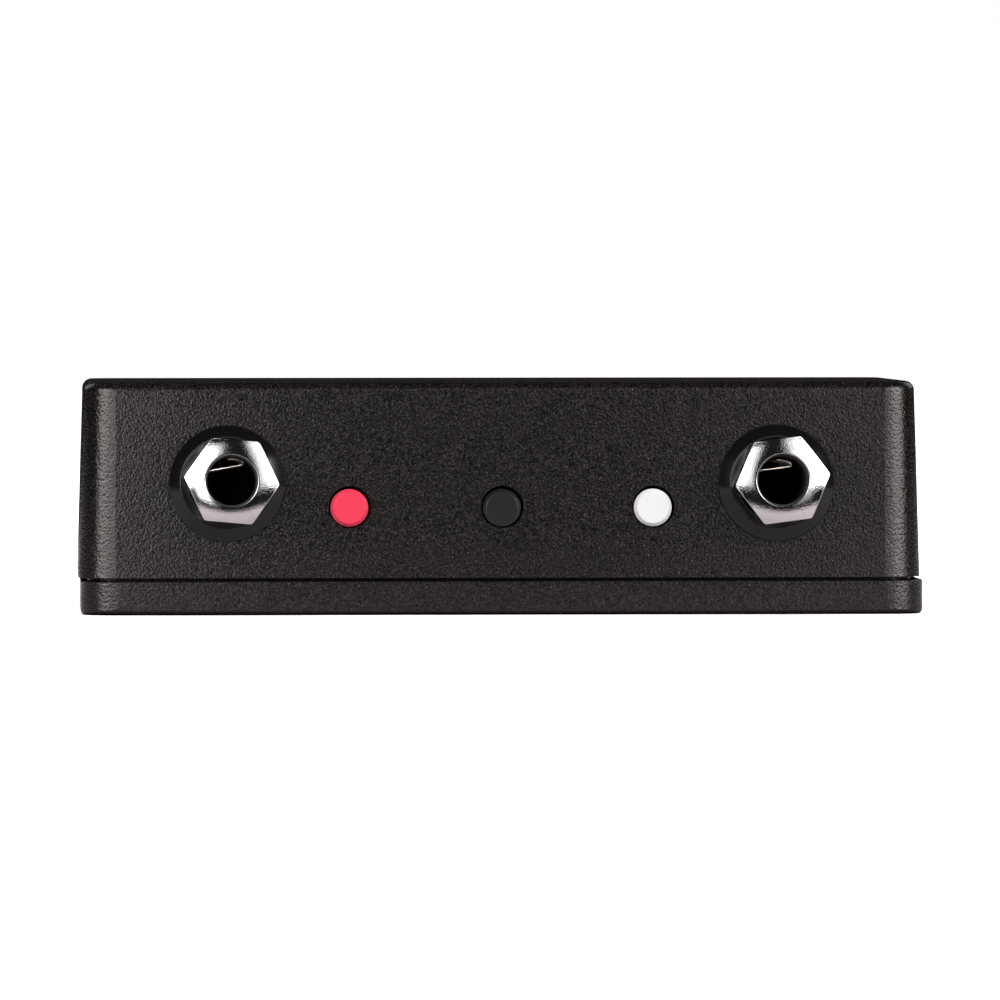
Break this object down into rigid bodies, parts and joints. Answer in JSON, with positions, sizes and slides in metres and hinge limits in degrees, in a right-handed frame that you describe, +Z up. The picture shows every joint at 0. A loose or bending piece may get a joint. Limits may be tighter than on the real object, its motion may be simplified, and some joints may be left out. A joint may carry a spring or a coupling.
{
  "type": "direct injection box",
  "caption": "Small die-cast direct injection box with two quarter-inch jacks and three latching push buttons in front, a three-pin output socket behind, and an isolating transformer inside.",
  "frame": {"origin": "middle of the base cover's underside, which is the face that the box stands on", "axes": "+Z up; +X along the box, from the input jack to the through jack; the wall with the jacks and buttons faces -Y and the output socket faces +Y"},
  "size_m": [0.1126, 0.0661, 0.031],
  "materials": {
    "powder_coat": "fine wrinkled black powder coat on die-cast aluminium",
    "black_nylon": "satin moulded nylon",
    "chrome_plate": "bright chrome plate",
    "red_abs": "satin moulded ABS",
    "black_abs": "satin moulded ABS",
    "white_abs": "satin moulded ABS",
    "switch_plastic": "matt moulded plastic",
    "spring_steel": "bright drawn wire",
    "tinned_contact": "tin-plated phosphor bronze",
    "green_board": "solder-masked glass epoxy",
    "lamination_steel": "stacked steel sheets",
    "bobbin_nylon": "moulded nylon",
    "copper_winding": "enamelled copper wire",
    "yellow_tape": "polyester tape",
    "resistor_lacquer": "lacquered metal film",
    "capacitor_box": "moulded box",
    "nickel_plate": "satin nickel plate",
    "black_screw": "black oxide steel",
    "zinc_plate": "zinc-plated steel",
    "red_wire": "PVC insulation",
    "white_wire": "PVC insulation",
    "black_wire": "PVC insulation",
    "green_wire": "PVC insulation"
  },
  "bodies": {
    "housing": {"base_lid": "powder_coat", "circuit_board": "green_board", "earth_lug": "zinc_plate", "enclosure": "powder_coat", "film_capacitors": "capacitor_box", "jack_input_bezel": "black_nylon", "jack_input_body": "black_nylon", "jack_input_nut": "chrome_plate", "jack_input_sleeve_contact": "tinned_contact", "jack_input_tip_contact": "tinned_contact", "jack_thru_bezel": "black_nylon", "jack_thru_body": "black_nylon", "jack_thru_nut": "chrome_plate", "jack_thru_sleeve_contact": "tinned_contact", "jack_thru_tip_contact": "tinned_contact", "lead_cold": "white_wire", "lead_earth": "green_wire", "lead_hot": "red_wire", "lead_shield": "black_wire", "lid_screws": "black_screw", "resistors": "resistor_lacquer", "switch_black_base": "switch_plastic", "switch_black_housing": "switch_plastic", "switch_black_spring": "spring_steel", "switch_pins": "tinned_contact", "switch_red_base": "switch_plastic", "switch_red_housing": "switch_plastic", "switch_red_spring": "spring_steel", "switch_white_base": "switch_plastic", "switch_white_housing": "switch_plastic", "switch_white_spring": "spring_steel", "transformer_bobbin": "bobbin_nylon", "transformer_core": "lamination_steel", "transformer_pins": "tinned_contact", "transformer_primary": "copper_winding", "transformer_secondary": "copper_winding", "transformer_tape": "yellow_tape", "xlr_insert": "black_nylon", "xlr_nuts": "zinc_plate", "xlr_pins": "nickel_plate", "xlr_screws": "black_screw", "xlr_shell": "nickel_plate"},
    "button_red": {"button_cap_red": "red_abs", "switch_red_plunger": "switch_plastic"},
    "button_black": {"button_cap_black": "black_abs", "switch_black_plunger": "switch_plastic"},
    "button_white": {"button_cap_white": "white_abs", "switch_white_plunger": "switch_plastic"}
  },
  "joints": [
    {"name": "button_red_press", "type": "slide", "parent": "housing", "child": "button_red", "axis": [0, 0.9996, -0.0297], "range_m": [0, 0.0022], "stiffness_N_per_m": 600, "springref_m": -0.0008, "deforming": ["switch_red_spring"]},
    {"name": "button_black_press", "type": "slide", "parent": "housing", "child": "button_black", "axis": [0, 0.9996, -0.0297], "range_m": [0, 0.0022], "stiffness_N_per_m": 600, "springref_m": -0.0008, "deforming": ["switch_black_spring"]},
    {"name": "button_white_press", "type": "slide", "parent": "housing", "child": "button_white", "axis": [0, 0.9996, -0.0297], "range_m": [0, 0.0022], "stiffness_N_per_m": 600, "springref_m": -0.0008, "deforming": ["switch_white_spring"]}
  ]
}
